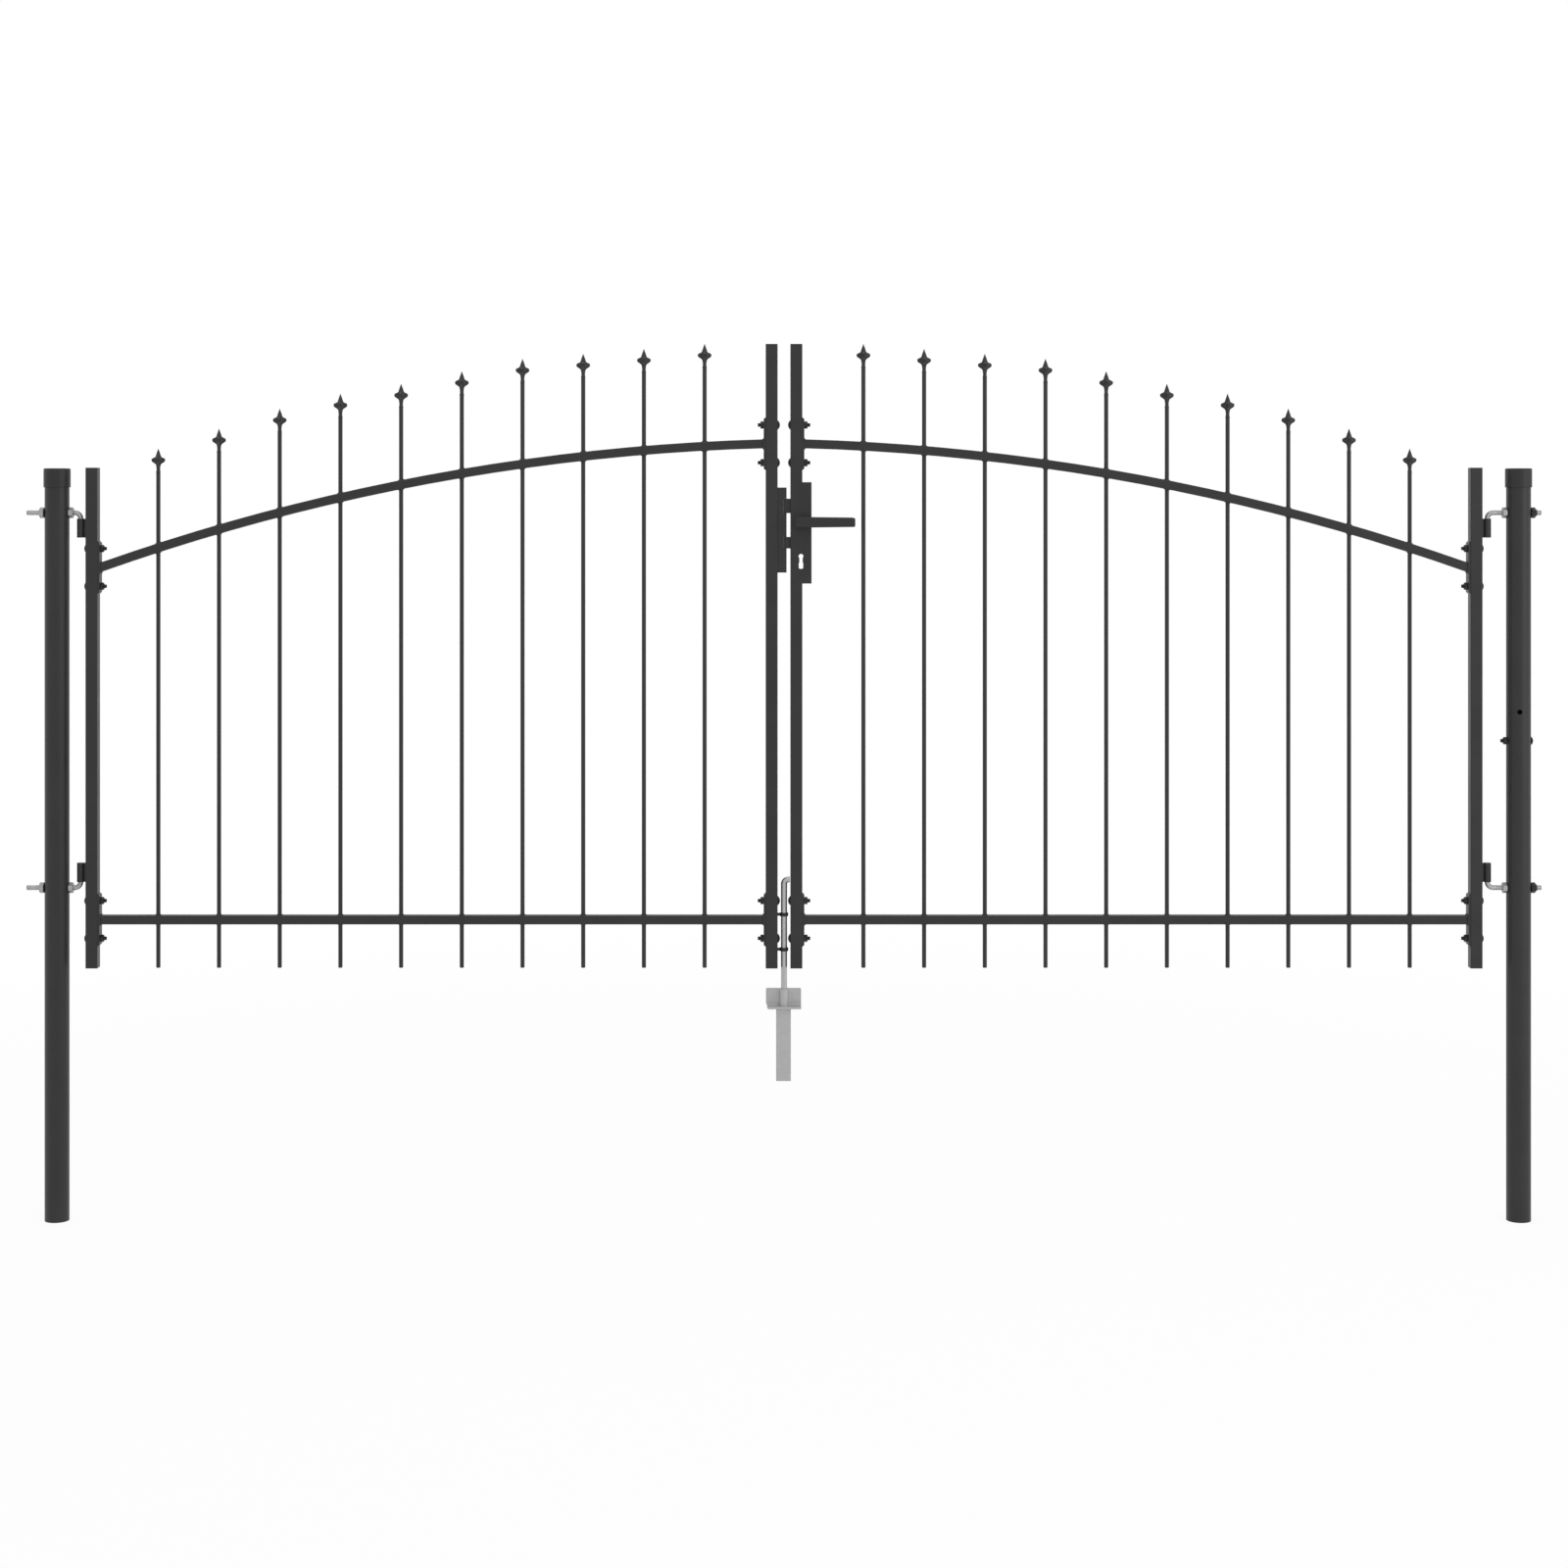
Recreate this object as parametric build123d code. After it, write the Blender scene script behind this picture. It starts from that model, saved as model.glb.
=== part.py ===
from build123d import *
import math
import os

os.makedirs("parts", exist_ok=True)

# Driving dimensions, in millimetres. +X runs to the right along the gate, the viewer stands at -Y,
# +Z is up. The origin is the centre of the left post's foot.

# Round posts with push-on caps
post_diameter = 48.6
post_wall = 1.5
post_height = 1500.0
post_cap_wall = 2.1
post_cap_skirt = 31.0
post_cap_top = 7.0
post_cap_rounding = 2.5
post_cap_fit = 0.1

# Leaves and their square tube stiles. The hinge stiles end just above the post caps.
leaf_width = 1385.25
stile_size = 24.0
stile_wall = 1.5
stile_rounding = 1.6
hinge_stile_length = 1002.3
hinge_stile_rise = 1.3  # above the post caps
centre_stile_length = 1250.0
plug_head = 2.0
plug_insert = 14.0
plug_fit = 0.15

# Square tube rails, the upper one bowed
rail_size = 18.0
rail_wall = 1.2
rail_rounding = 1.5
bottom_rail_height = 96.6  # rail axis above the leaf's bottom edge
top_rail_drop = 199.8  # rail axis below each stile's top
top_rail_radius = 4335.0

# Round pickets with spear heads, counted from the centre stile outwards
picket_diameter = 8.5
picket_first = 146.45  # from the leaf's inner face
picket_last = 143.5  # from the leaf's outer face
picket_rise = 205.0  # spear tip above the bowed rail's axis, the bars being cut to round lengths
picket_rise_shares = (0.998, 0.99, 1.0, 1.026, 0.996, 0.983, 1.013, 1.012, 0.98, 0.967)
picket_hole_fit = 0.1
picket_chamfer = 0.8
spear_height = 48.0
spear_width = 27.5
spear_level_shares = (
    0.0, 0.054, 0.096, 0.16, 0.283, 0.354, 0.396, 0.446, 0.479, 0.529, 0.579, 0.6125, 0.654, 0.696, 0.835, 1.0
)
spear_blade_shares = (
    0.32, 0.32, 0.28, 0.266, 0.312, 0.385, 0.545, 0.83, 0.945, 1.0, 0.955, 0.81, 0.46, 0.38, 0.23, 0.03
)
spear_core_shares = (
    0.32, 0.32, 0.27, 0.255, 0.27, 0.29, 0.31, 0.345, 0.355, 0.36, 0.35, 0.34, 0.325, 0.31, 0.2, 0.03
)

# End plates and the bolts that hold each rail to its stiles
end_plate_thickness = 4.0
end_plate_margin = 1.0
end_plate_height = 105.0
end_plate_bevel = 3.0
end_plate_bolt_spacing = 75.6
frame_bolt_diameter = 8.0
frame_bolt_head_diameter = 18.0
frame_bolt_head_height = 4.8
frame_bolt_stub = 5.5
frame_bolt_chamfer = 1.2
frame_nut_flats = 13.0
frame_nut_height = 6.5
nut_chamfer = 1.0
thread_fit = 0.05
bolt_hole_fit = 0.2

# Bent hinge bolts through the posts, and the barrels on the leaves
hinge_upper_drop = 90.3  # bolt axis below the hinge stile's top
hinge_lower_rise = 160.3  # bolt axis above the leaf's bottom edge
hinge_bolt_diameter = 10.0
hinge_bolt_stub = 10.4  # thread left outside the right post's nut
hinge_bend_radius = 11.5
hinge_pin_inset = 0.5
left_hinge_thread = 3.3  # straight bolt between the bend and the inner nut
right_hinge_thread = 18.6
hinge_barrel_wall = 2.44
hinge_barrel_length = 38.0
hinge_barrel_gap = 4.5  # barrel to stile, bridged by the web
hinge_barrel_web = 5.0
hinge_running_fit = 0.06
hinge_seat_gap = 0.3
hinge_nut_flats = 18.8
hinge_nut_height = 8.4
lock_nut_hex = 7.0
lock_nut_collar = 3.2
lock_nut_step = 0.5
lock_nut_rim = 1.5
hinge_washer_diameter = 21.0
hinge_washer_thickness = 1.5

# Through bolt and small hole that only the right post has
post_bolt_drop = 539.0
post_bolt_head_diameter = 16.7
post_hole_diameter = 10.0
post_hole_drop = 480.0
post_hole_offset = 3.8

# Lock case in the right centre stile, its works listed from the bottom up
lock_drop = 76.9  # top of the case below the bowed rail's axis
lock_wall = 2.0
lock_backset = 21.3  # spindle and keyhole axis from the leaf's inner face
lock_tail = 21.2  # case beyond that axis
keyhole_rise = 29.1
keyhole_height = 30.2
keyhole_lobe_diameter = 9.6
keyhole_width = 8.8
keyhole_waist = 6.6
keyhole_corner = 3.0
keyhole_lower_share = 0.45
dead_bolt_rise = 10.9
dead_bolt_height = 23.1
dead_bolt_thickness = 13.0
lever_rise = 29.4
latch_rise = 18.2
latch_height = 29.1
latch_thickness = 13.0
latch_slope = 8.0
latch_slope_length = 11.0
lock_head_room = 33.0
bolt_engagement = 5.7  # lock bolts inside the keep
bolt_tail = 15.25
bolt_slot_fit = 0.4
bolt_edge = 0.3

# Lever handles on both sides of the lock
lever_reach = 107.8  # from the spindle axis to the tip
lever_root_width = 21.2
lever_tip_width = 18.4
lever_thickness = 10.0
lever_root_back = 11.8  # from the spindle axis to the root
lever_root_corner = 5.0
lever_tip_corner = 3.4
lever_rounding = 2.6
lever_neck_wall = 3.5
lever_neck_length = 30.0
lever_face_gap = 0.3
spindle_diameter = 10.0
spindle_grip = 20.0

# Keep on the left centre stile
keep_gap = 7.55  # keep to the right leaf
keep_foot = 48.3  # keep below the dead bolt
keep_head = 22.3  # keep above the latch
keep_depth = 18.0
keep_wall = 2.0
keep_bolt_gap = 0.06

# Drop rod in the gap between the leaves, with two guide eyes on the left leaf
rod_diameter = 12.2
rod_head_gap = 1.85  # rod to the bolt heads on either side
rod_leg_rise = 80.1  # bent leg above the bottom rail's axis
rod_bend_radius = 8.6
rod_leg_gap = 1.05  # bent leg to the right leaf
rod_end_chamfer = 0.5
rod_foot_gap = 0.3
guide_upper_rise = 10.4  # eyes above and below the bottom rail's axis
guide_lower_drop = 59.6
guide_ring_wall = 2.15
guide_ring_height = 7.3
guide_rounding = 1.2
guide_fit = 0.25
guide_shank_diameter = 6.2
guide_shank_length = 17.0

# Ground stop between the leaves, with a sleeve for the drop rod
stop_drop = 41.9  # top of the stop below the leaves
stop_width = 70.6
stop_offset = 1.0  # to the left of the gate's centre line
stop_height = 38.7
stop_sheet = 4.5
stop_depth = 25.0
stop_sleeve_diameter = 18.2
stop_flare = 4.0  # hollow round on either side of the sleeve
stop_fold = 3.0
stop_corner_width = 4.4  # the lower left corner is cut off
stop_corner_height = 9.0
stop_upright_cut = 2.0
stop_socket_fit = 0.4
spike_width = 29.6
spike_depth = 20.0
spike_wall = 2.0
spike_length = 144.8
spike_rounding = 2.0

cut_overrun = 5.0
quarter_turn = 90

# Places worked out from the sizes above. Side distances run outwards from the gate's centre line.
post_radius = post_diameter / 2
half_stile = stile_size / 2
leaf_gap = rod_diameter + 2 * (frame_bolt_head_height + rod_head_gap)
inner_face = leaf_gap / 2
outer_face = inner_face + leaf_width
centre_axis = inner_face + half_stile
hinge_axis = outer_face - half_stile
centre_plate_face = inner_face + stile_size + end_plate_thickness
hinge_plate_face = outer_face - stile_size - end_plate_thickness
barrel_radius = hinge_bolt_diameter / 2 + hinge_running_fit + hinge_barrel_wall
pin_axis = outer_face + hinge_barrel_gap + barrel_radius
bolt_to_post = hinge_bend_radius + hinge_nut_height + post_radius
left_post_reach = pin_axis + left_hinge_thread + bolt_to_post
right_post_reach = pin_axis + right_hinge_thread + bolt_to_post
gate_centre = left_post_reach
left_outside = left_post_reach + post_radius
right_outside = right_post_reach + post_radius
hinge_hardware = hinge_washer_thickness + hinge_nut_height + hinge_bolt_stub
hinge_bolt_end = max(left_outside, right_outside) + hinge_hardware

hinge_stile_top = post_height + post_cap_top + hinge_stile_rise
leaf_bottom = hinge_stile_top - hinge_stile_length
centre_stile_top = leaf_bottom + centre_stile_length
bottom_rail_z = leaf_bottom + bottom_rail_height
top_rail_hinge_z = hinge_stile_top - top_rail_drop
top_rail_centre_z = centre_stile_top - top_rail_drop
hinge_upper_z = hinge_stile_top - hinge_upper_drop
hinge_lower_z = leaf_bottom + hinge_lower_rise
hinge_heights = (hinge_upper_z, hinge_lower_z)
upper_barrel_bottom = hinge_upper_z - hinge_bend_radius - hinge_seat_gap - hinge_barrel_length
lower_barrel_bottom = hinge_lower_z + hinge_bend_radius + hinge_seat_gap
post_bolt_z = post_height - post_bolt_drop
post_hole_z = post_height - post_hole_drop

# Centre of the bowed rails' arc, from the chord between the end plates and the radius
rail_run = hinge_plate_face - centre_plate_face
rail_fall = top_rail_centre_z - top_rail_hinge_z
rail_chord = math.hypot(rail_run, rail_fall)
arc_drop = math.sqrt(top_rail_radius**2 - (rail_chord / 2) ** 2)
rail_middle_z = top_rail_centre_z - rail_fall / 2
arc_x = centre_plate_face + rail_run / 2 - arc_drop * rail_fall / rail_chord
arc_z = rail_middle_z - arc_drop * rail_run / rail_chord

picket_pitch = (leaf_width - picket_first - picket_last) / (len(picket_rise_shares) - 1)
picket_places = [inner_face + picket_first + picket_pitch * i for i in range(len(picket_rise_shares))]


def bowed_rail_z(place):
    return arc_z + math.sqrt(top_rail_radius**2 - (place - arc_x) ** 2)


spear_feet = [
    bowed_rail_z(place) + picket_rise * share - spear_height
    for place, share in zip(picket_places, picket_rise_shares)
]

lock_top = top_rail_centre_z - lock_drop
latch_top = lock_top - lock_head_room
latch_bottom = latch_top - latch_height
lever_z = latch_bottom - latch_rise
dead_bolt_bottom = lever_z - lever_rise - dead_bolt_height
keyhole_bottom = dead_bolt_bottom - dead_bolt_rise - keyhole_height
lock_bottom = keyhole_bottom - keyhole_rise
lock_back = inner_face + lock_backset + lock_tail
spindle_axis = inner_face + lock_backset
bolt_tip = inner_face - keep_gap - bolt_engagement
bolt_end = inner_face + bolt_tail
keep_mouth = keep_gap - inner_face

guide_heights = (bottom_rail_z + guide_upper_rise, bottom_rail_z - guide_lower_drop)
stop_top = leaf_bottom - stop_drop
stop_bottom = stop_top - stop_height
stop_base_top = stop_bottom + stop_sheet


def right_side(shape):
    return Pos(gate_centre, 0, 0) * shape


def left_side(shape):
    return Pos(gate_centre, 0, 0) * mirror(shape, about=Plane.YZ)


def save(name, shapes):
    solids = [solid for shape in shapes for solid in shape.solids()]
    export_step(Compound(solids), f"parts/{name}.step")


def block(x_span, y_span, z_span):
    spans = (x_span, y_span, z_span)
    centre = [sum(span) / 2 for span in spans]
    size = [max(span) - min(span) for span in spans]
    return Pos(*centre) * Box(*size)


def rod_x(radius, start, end, z):
    return Pos((start + end) / 2, 0, z) * Rot(0, quarter_turn, 0) * Cylinder(radius, abs(end - start))


def rod_y(radius, start, end, x, z):
    return Pos(x, (start + end) / 2, z) * Rot(quarter_turn, 0, 0) * Cylinder(radius, abs(end - start))


def rod_z(radius, bottom, top, x):
    return Pos(x, 0, (bottom + top) / 2) * Cylinder(radius, top - bottom)


def bent_rod(radius, points, bend):
    path = FilletPolyline(*points, radius=bend)
    return sweep(Plane(origin=path @ 0, z_dir=path % 0) * Circle(radius), path=path)


def tube_section(width, depth, wall, rounding):
    return RectangleRounded(width, depth, rounding) - Rectangle(width - 2 * wall, depth - 2 * wall)


def hex_nut(flats, height, bore_radius):
    prism = extrude(RegularPolygon(flats / 2, 6, major_radius=False), height)
    round_off = Pos(0, 0, height / 2) * Cylinder(flats / math.sqrt(3), height)
    round_off = chamfer(round_off.edges().filter_by(GeomType.CIRCLE), nut_chamfer)
    bore = rod_z(bore_radius, -cut_overrun, height + cut_overrun, 0)
    return (prism & round_off) - bore


def dome_bolt(head_diameter, grip):
    # Domed head below the seat, shank upwards through the grip, with a chamfered end
    head_radius = head_diameter / 2
    ball = (head_radius**2 + frame_bolt_head_height**2) / (2 * frame_bolt_head_height)
    dome = Pos(0, 0, ball - frame_bolt_head_height) * Sphere(ball)
    head = dome & rod_z(head_radius, -frame_bolt_head_height, 0, 0)
    shank = rod_z(frame_bolt_diameter / 2, 0, grip, 0)
    tip = shank.edges().filter_by(GeomType.CIRCLE).sort_by(Axis.Z)[-1]
    return head + chamfer(tip, frame_bolt_chamfer)


# Posts and caps

def post(reach):
    tube = rod_z(post_radius, 0, post_height, reach)
    tube -= rod_z(post_radius - post_wall, -cut_overrun, post_height + cut_overrun, reach)
    hole = hinge_bolt_diameter / 2 + bolt_hole_fit
    for z in hinge_heights:
        tube -= rod_x(hole, reach - post_diameter, reach + post_diameter, z)
    return tube


def post_cap(reach):
    radius = post_radius + post_cap_fit + post_cap_wall
    cap = rod_z(radius, post_height - post_cap_skirt, post_height + post_cap_top, 0)
    cap = fillet(cap.edges().filter_by(GeomType.CIRCLE).sort_by(Axis.Z)[-1], post_cap_rounding)
    cap -= rod_z(post_radius + post_cap_fit, post_height - post_cap_skirt - cut_overrun, post_height, 0)
    return Pos(reach, 0, 0) * cap


def right_post():
    tube = post(right_post_reach)
    bolt_hole = frame_bolt_diameter / 2 + bolt_hole_fit
    tube -= rod_x(bolt_hole, right_post_reach - post_diameter, right_outside + cut_overrun, post_bolt_z)
    front_hole = right_post_reach - post_hole_offset
    tube -= rod_y(post_hole_diameter / 2, -post_diameter, 0, front_hole, post_hole_z)
    return tube


save("left_post", [left_side(post(left_post_reach))])
save("right_post", [right_side(right_post())])
save("left_post_cap", [left_side(post_cap(left_post_reach))])
save("right_post_cap", [right_side(post_cap(right_post_reach))])

# Hinge bolts with their nuts and washers


def hinge_bolts():
    upper_end = upper_barrel_bottom + hinge_pin_inset
    lower_end = lower_barrel_bottom + hinge_barrel_length - hinge_pin_inset
    bolts = []
    for z, end in ((hinge_upper_z, upper_end), (hinge_lower_z, lower_end)):
        points = [(hinge_bolt_end, 0, z), (pin_axis, 0, z), (pin_axis, 0, end)]
        bolts.append(bent_rod(hinge_bolt_diameter / 2, points, hinge_bend_radius))
    return bolts


def hinge_row(shape, x):
    # The same nut or washer on the upper and the lower bolt, its axis along X
    turned = Rot(0, quarter_turn, 0) * shape
    return [Pos(x, 0, z) * turned for z in hinge_heights]


def lock_nut():
    # Hexagon with a tapered collar on its outer end
    foot = hinge_nut_flats / 2 - lock_nut_step
    rim = thread_bore + lock_nut_rim
    collar = Pos(0, 0, lock_nut_hex + lock_nut_collar / 2) * Cone(foot, rim, lock_nut_collar)
    collar -= rod_z(thread_bore, 0, lock_nut_hex + lock_nut_collar + cut_overrun, 0)
    return hex_nut(hinge_nut_flats, lock_nut_hex, thread_bore) + collar


thread_bore = hinge_bolt_diameter / 2 + thread_fit
hinge_nut = hex_nut(hinge_nut_flats, hinge_nut_height, thread_bore)
hinge_washer = rod_z(hinge_washer_diameter / 2, 0, hinge_washer_thickness, 0)
hinge_washer -= rod_z(thread_bore, -cut_overrun, hinge_washer_thickness + cut_overrun, 0)

left_inner_nuts = hinge_row(hinge_nut, left_post_reach - post_radius - hinge_nut_height)
left_outer_nuts = hinge_row(hinge_nut, left_outside + hinge_washer_thickness)
right_inner_nuts = hinge_row(hinge_nut, right_post_reach - post_radius - hinge_nut_height)
right_outer_nuts = hinge_row(lock_nut(), right_outside + hinge_washer_thickness)
left_washers = hinge_row(hinge_washer, left_outside)
right_washers = hinge_row(hinge_washer, right_outside)

save("left_hinge_bolts", [left_side(bolt) for bolt in hinge_bolts()])
save("right_hinge_bolts", [right_side(bolt) for bolt in hinge_bolts()])
save("left_hinge_nuts", [left_side(nut) for nut in left_inner_nuts + left_outer_nuts])
save("right_hinge_nuts", [right_side(nut) for nut in right_inner_nuts])
save("right_hinge_lock_nuts", [right_side(nut) for nut in right_outer_nuts])
save("hinge_washers", [left_side(w) for w in left_washers] + [right_side(w) for w in right_washers])

# Through bolt of the right post, its head on the outer side

post_bolt = dome_bolt(post_bolt_head_diameter, post_diameter + frame_nut_height + frame_bolt_stub)
post_bolt = Pos(right_outside, 0, post_bolt_z) * Rot(0, -quarter_turn, 0) * post_bolt
frame_nut = hex_nut(frame_nut_flats, frame_nut_height, frame_bolt_diameter / 2 + thread_fit)
post_nut_seat = right_post_reach - post_radius
post_nut = Pos(post_nut_seat, 0, post_bolt_z) * Rot(0, -quarter_turn, 0) * frame_nut
save("right_post_bolt", [right_side(post_bolt)])
save("right_post_nut", [right_side(post_nut)])

# Leaf frame, drawn for the right leaf and mirrored for the left one


def bolt_heights(rail_z):
    return [rail_z - end_plate_bolt_spacing / 2, rail_z + end_plate_bolt_spacing / 2]


centre_bolt_heights = bolt_heights(bottom_rail_z) + bolt_heights(top_rail_centre_z)
hinge_bolt_heights = bolt_heights(bottom_rail_z) + bolt_heights(top_rail_hinge_z)


def stile(axis, bottom, top, bolts):
    section = tube_section(stile_size, stile_size, stile_wall, stile_rounding)
    tube = Pos(axis, 0, bottom) * extrude(section, top - bottom)
    for z in bolts:
        tube -= rod_x(frame_bolt_diameter / 2 + bolt_hole_fit, axis - stile_size, axis + stile_size, z)
    return tube


def hinge_stile():
    return stile(hinge_axis, leaf_bottom + plug_head, hinge_stile_top - plug_head, hinge_bolt_heights)


def centre_stile():
    return stile(centre_axis, leaf_bottom + plug_head, centre_stile_top - plug_head, centre_bolt_heights)


def split_centre_stile():
    # The lock case takes the place of the tube between these two lengths
    below = stile(centre_axis, leaf_bottom + plug_head, lock_bottom, bolt_heights(bottom_rail_z))
    above = stile(centre_axis, lock_top, centre_stile_top - plug_head, bolt_heights(top_rail_centre_z))
    return [below, above]


def stile_plug(axis, end, inwards):
    # Flat head on the tube's end with an insert that runs into the tube
    insert_size = stile_size - 2 * stile_wall - 2 * plug_fit
    head = extrude(RectangleRounded(stile_size, stile_size, stile_rounding), plug_head)
    rim = head.edges().group_by(Axis.Z)[0]
    head = fillet(rim, stile_rounding / 2)
    insert = Pos(0, 0, plug_head + plug_insert / 2) * Box(insert_size, insert_size, plug_insert)
    plug = head + insert
    if inwards < 0:
        plug = mirror(plug, about=Plane.XY)
    return Pos(axis, 0, end) * plug


def stile_plugs():
    plugs = []
    for axis, top in ((centre_axis, centre_stile_top), (hinge_axis, hinge_stile_top)):
        plugs += [stile_plug(axis, leaf_bottom, 1), stile_plug(axis, top, -1)]
    return plugs


def picket_holes(rail):
    for place in picket_places:
        rail -= rod_z(picket_diameter / 2 + picket_hole_fit, leaf_bottom, centre_stile_top, place)
    return rail


def bottom_rail():
    section = tube_section(rail_size, rail_size, rail_wall, rail_rounding)
    tube = Pos(centre_plate_face, 0, bottom_rail_z) * Rot(0, quarter_turn, 0) * extrude(section, rail_run)
    return picket_holes(tube)


def bowed_bar(size, start, end):
    # A bar of square section along the top rail's arc, cut off upright at both ends
    ring = Circle(top_rail_radius + size / 2) - Circle(top_rail_radius - size / 2)
    window = Pos((start + end) / 2, rail_middle_z) * Rectangle(end - start, rail_run)
    section = (Pos(arc_x, arc_z) * ring) & window
    return extrude(Plane.XZ * section, size / 2, both=True)


def top_rail():
    bar = bowed_bar(rail_size, centre_plate_face, hinge_plate_face)
    long_edges = bar.edges().filter_by(GeomType.CIRCLE)
    bar = fillet(long_edges, rail_rounding)
    bore = rail_size - 2 * rail_wall
    bar -= bowed_bar(bore, centre_plate_face - cut_overrun, hinge_plate_face + cut_overrun)
    return picket_holes(bar)


def end_plate(seat, rail_z, direction):
    # Flat plate on a stile's face, its outer ends bevelled, with two bolt holes
    far = seat + direction * end_plate_thickness
    half_width = half_stile - end_plate_margin
    half_height = end_plate_height / 2
    plate = block((seat, far), (-half_width, half_width), (rail_z - half_height, rail_z + half_height))
    ends = plate.edges().filter_by(Axis.Y).sort_by(Axis.X)
    outer = ends[-2:] if direction > 0 else ends[:2]
    plate = chamfer(outer, end_plate_bevel)
    for z in bolt_heights(rail_z):
        plate -= rod_x(frame_bolt_diameter / 2 + bolt_hole_fit, seat - stile_size, seat + stile_size, z)
    return plate


def end_plates():
    centre_seat = inner_face + stile_size
    hinge_seat = outer_face - stile_size
    return [
        end_plate(centre_seat, bottom_rail_z, 1),
        end_plate(centre_seat, top_rail_centre_z, 1),
        end_plate(hinge_seat, bottom_rail_z, -1),
        end_plate(hinge_seat, top_rail_hinge_z, -1),
    ]


def frame_bolts():
    grip = stile_size + end_plate_thickness + frame_nut_height + frame_bolt_stub
    bolt = dome_bolt(frame_bolt_head_diameter, grip)
    outwards = Rot(0, quarter_turn, 0) * bolt
    inwards = Rot(0, -quarter_turn, 0) * bolt
    bolts = [Pos(inner_face, 0, z) * outwards for z in centre_bolt_heights]
    return bolts + [Pos(outer_face, 0, z) * inwards for z in hinge_bolt_heights]


def frame_nuts():
    outwards = Rot(0, quarter_turn, 0) * frame_nut
    inwards = Rot(0, -quarter_turn, 0) * frame_nut
    nuts = [Pos(centre_plate_face, 0, z) * outwards for z in centre_bolt_heights]
    return nuts + [Pos(hinge_plate_face, 0, z) * inwards for z in hinge_bolt_heights]


def pickets():
    bars = []
    for place, top in zip(picket_places, spear_feet):
        bar = rod_z(picket_diameter / 2, leaf_bottom, top, place)
        foot = bar.edges().filter_by(GeomType.CIRCLE).sort_by(Axis.Z)[0]
        bars.append(chamfer(foot, picket_chamfer))
    return bars


def spear_head():
    # Four blades on a core, widest at the wings, with a short collar on the picket
    half_width = spear_width / 2
    sections = []
    for level, blade, core in zip(spear_level_shares, spear_blade_shares, spear_core_shares):
        points = []
        for i in range(8):
            reach = half_width * (blade if i % 2 == 0 else core)
            turn = math.pi * i / 4
            points.append((reach * math.cos(turn), reach * math.sin(turn)))
        outline = make_face(Polyline(*points, close=True))
        sections.append(Pos(0, 0, spear_height * level) * outline)
    return loft(sections, ruled=True)


def spear_heads():
    head = spear_head()
    return [Pos(place, 0, foot) * head for place, foot in zip(picket_places, spear_feet)]


def hinge_barrels():
    bore = hinge_bolt_diameter / 2 + hinge_running_fit
    half_web = hinge_barrel_web / 2
    barrels = []
    for bottom in (upper_barrel_bottom, lower_barrel_bottom):
        top = bottom + hinge_barrel_length
        barrel = rod_z(barrel_radius, bottom, top, pin_axis)
        barrel += block((outer_face, pin_axis), (-half_web, half_web), (bottom, top))
        barrels.append(barrel - rod_z(bore, bottom - cut_overrun, top + cut_overrun, pin_axis))
    return barrels


def guided_centre_stile():
    # The left centre stile also takes the shanks of the two guide eyes
    tube = centre_stile()
    for z in guide_heights:
        tube -= rod_x(guide_shank_diameter / 2 + bolt_hole_fit, inner_face - cut_overrun, centre_axis, z)
    return tube


for side, place in (("left", left_side), ("right", right_side)):
    save(f"{side}_hinge_stile", [place(hinge_stile())])
    save(f"{side}_hinge_barrels", [place(barrel) for barrel in hinge_barrels()])
    save(f"{side}_top_rail", [place(top_rail())])
    save(f"{side}_bottom_rail", [place(bottom_rail())])
    save(f"{side}_end_plates", [place(plate) for plate in end_plates()])
    save(f"{side}_frame_bolts", [place(bolt) for bolt in frame_bolts()])
    save(f"{side}_frame_nuts", [place(nut) for nut in frame_nuts()])
    save(f"{side}_pickets", [place(bar) for bar in pickets()])
    save(f"{side}_spear_heads", [place(head) for head in spear_heads()])
    save(f"{side}_stile_plugs", [place(plug) for plug in stile_plugs()])

save("left_centre_stile", [left_side(guided_centre_stile())])
save("right_centre_stile", [right_side(tube) for tube in split_centre_stile()])

# Lock case with its slots, spindle hole and keyhole


def keyhole():
    lobe_radius = keyhole_lobe_diameter / 2
    lower_height = keyhole_height * keyhole_lower_share
    lower = Pos(0, lower_height / 2) * RectangleRounded(keyhole_width, lower_height, keyhole_corner)
    waist_height = keyhole_height - lobe_radius - lower_height / 2
    waist = Pos(0, (lower_height + waist_height) / 2) * Rectangle(keyhole_waist, waist_height)
    lobe = Pos(0, keyhole_height - lobe_radius) * Circle(lobe_radius)
    outline = Plane.XZ * (Pos(spindle_axis, keyhole_bottom) * (lower + waist + lobe))
    return extrude(outline, stile_size, both=True)


def bolt_slot(bottom, height, thickness):
    half = thickness / 2 + bolt_slot_fit
    return block(
        (inner_face - cut_overrun, inner_face + lock_wall + cut_overrun),
        (-half, half),
        (bottom - bolt_slot_fit, bottom + height + bolt_slot_fit),
    )


def lock_case():
    case = block((inner_face, lock_back), (-half_stile, half_stile), (lock_bottom, lock_top))
    case = fillet(case.edges().filter_by(Axis.Z), stile_rounding)
    half_room = half_stile - lock_wall
    case -= block(
        (inner_face + lock_wall, lock_back - lock_wall),
        (-half_room, half_room),
        (lock_bottom + lock_wall, lock_top - lock_wall),
    )
    case -= bolt_slot(latch_bottom, latch_height, latch_thickness)
    case -= bolt_slot(dead_bolt_bottom, dead_bolt_height, dead_bolt_thickness)
    spindle_hole = spindle_diameter / 2 + hinge_running_fit
    case -= rod_y(spindle_hole, -stile_size, stile_size, spindle_axis, lever_z)
    return case - keyhole()


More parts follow.
